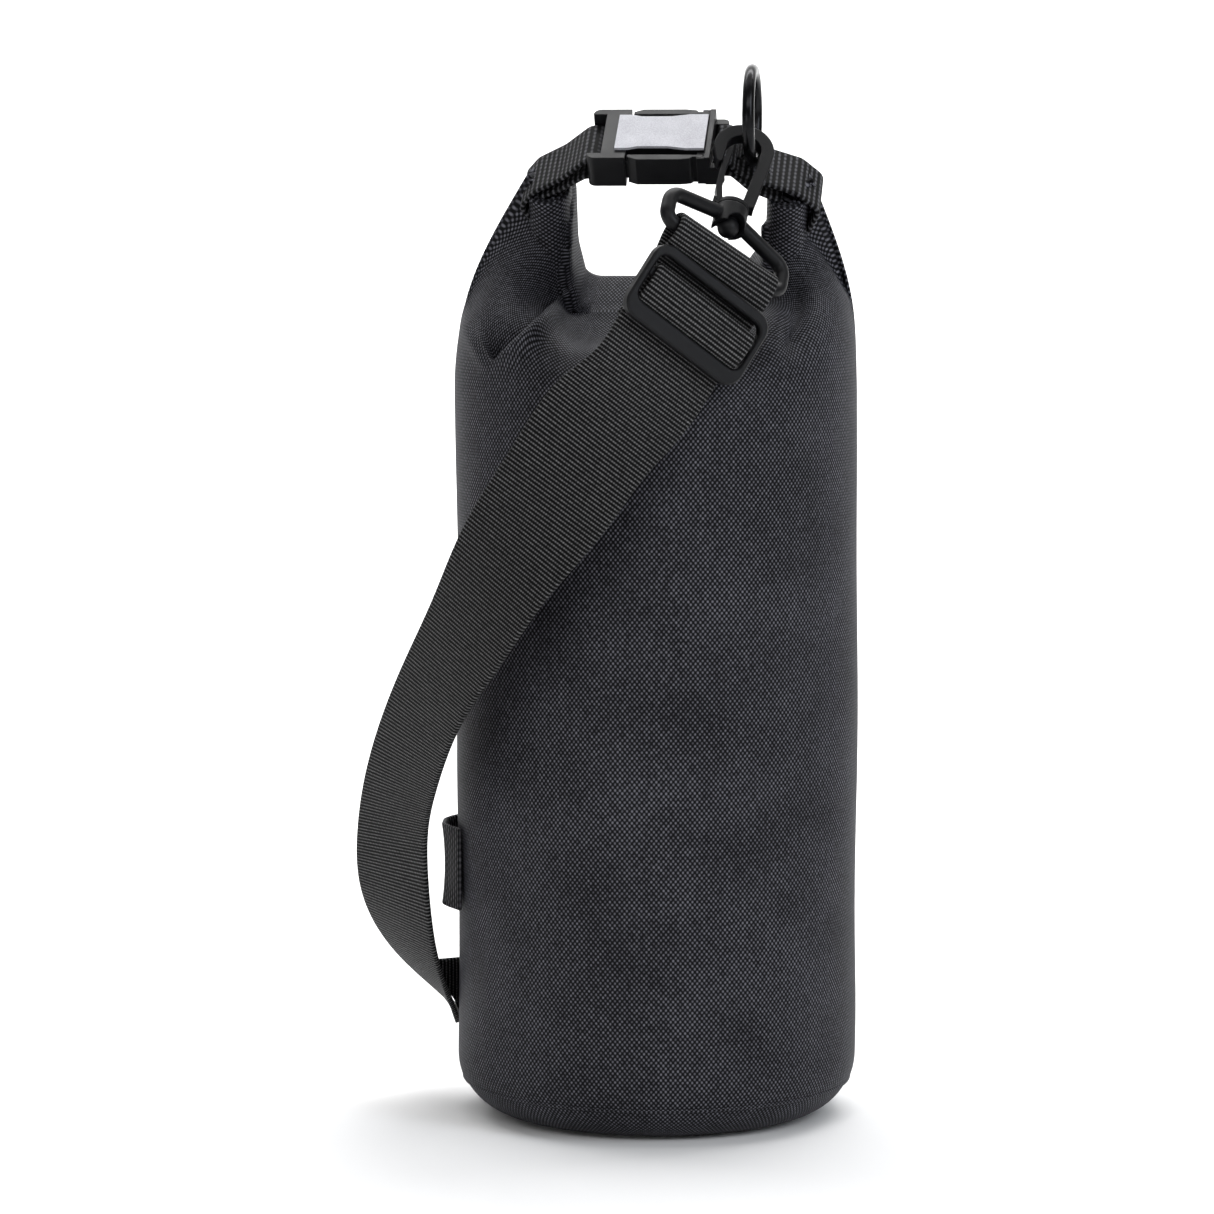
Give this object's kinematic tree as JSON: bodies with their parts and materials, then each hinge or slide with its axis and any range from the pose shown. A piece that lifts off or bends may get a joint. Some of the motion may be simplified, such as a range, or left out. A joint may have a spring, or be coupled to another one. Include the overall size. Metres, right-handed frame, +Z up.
{
  "type": "roll-top dry bag",
  "caption": "Small round roll-top fabric bag, closed by a side-release buckle, with a webbing shoulder strap clipped to a ring by a swivel snap hook.",
  "frame": {"origin": "centre of the flat base, on the surface the bag stands on", "axes": "+Z up along the bag, -Y the front where the strap crosses, +X to the viewer's right"},
  "size_m": [0.1612, 0.1486, 0.3342],
  "materials": {
    "bag_fabric": "coarse woven, coated",
    "webbing": "ribbed webbing",
    "black_plastic": "satin",
    "stiffener_plastic": "matte",
    "plate": "fine bead-blasted",
    "ring_steel": "gloss black coat"
  },
  "bodies": {
    "bag": {"bag_body": "bag_fabric", "base_panel": "bag_fabric", "roll_left": "bag_fabric", "stiffener_strip": "stiffener_plastic", "side_loop": "webbing", "closure_webbing_left": "webbing", "buckle_socket": "black_plastic", "buckle_plate": "plate", "strap_lower": "webbing", "strap_anchor_tab": "webbing"},
    "buckle_side": {"roll_right": "bag_fabric", "closure_webbing_right": "webbing", "ring_keeper": "webbing", "buckle_plug": "black_plastic", "strap_upper": "webbing"},
    "front_prong": {"prong_front": "black_plastic"},
    "rear_prong": {"prong_rear": "black_plastic"},
    "ring": {"ring": "ring_steel"},
    "swivel": {"swivel_loop": "black_plastic"},
    "hook": {"hook_body": "black_plastic"},
    "gate": {"hook_gate": "black_plastic"},
    "slider": {"tri_glide": "black_plastic", "strap_wrap": "webbing"}
  },
  "joints": [
    {"name": "buckle_release", "type": "slide", "parent": "bag", "child": "buckle_side", "axis": [0.9925, -0.1219, 0], "range_m": [0, 0.016], "deforming": ["stiffener_strip"]},
    {"name": "front_prong_squeeze", "type": "hinge", "parent": "buckle_side", "child": "front_prong", "pos_m": [0.01286, -0.03667, 0.30201], "axis": [0.0699, 0.5693, -0.8192], "range_deg": [0, 5]},
    {"name": "rear_prong_squeeze", "type": "hinge", "parent": "buckle_side", "child": "rear_prong", "pos_m": [0.01524, -0.01732, 0.31566], "axis": [-0.0699, -0.5693, 0.8192], "range_deg": [0, 5]},
    {"name": "ring_tilt", "type": "hinge", "parent": "buckle_side", "child": "ring", "pos_m": [0.02991, -0.02747, 0.30675], "axis": [0.0999, 0.8131, 0.5736], "range_deg": [-6, 6]},
    {"name": "loop_tilt", "type": "hinge", "parent": "buckle_side", "child": "swivel", "pos_m": [0.01903, -0.065, 0.275], "axis": [0.7563, 0.4109, -0.5091], "range_deg": [0, 3]},
    {"name": "hook_swivel", "type": "hinge", "parent": "swivel", "child": "hook", "pos_m": [0.02155, -0.05555, 0.28637], "axis": [0.168, 0.6301, 0.7581], "range_deg": [-8, 6]},
    {"name": "gate_open", "type": "hinge", "parent": "hook", "child": "gate", "pos_m": [0.01829, -0.05221, 0.29131], "axis": [-0.1363, 0.7765, -0.6152], "range_deg": [0, 6], "stiffness_Nm_per_rad": 0.02, "springref_deg": -5.73},
    {"name": "slider_travel", "type": "slide", "parent": "buckle_side", "child": "slider", "axis": [-0.5173, -0.2501, -0.8184], "range_m": [0, 0.012]}
  ],
  "couplings": [
    {"joint": "front_prong_squeeze", "follows": "buckle_release", "rad_per_m": 5.4536},
    {"joint": "rear_prong_squeeze", "follows": "buckle_release", "rad_per_m": 5.4536}
  ]
}
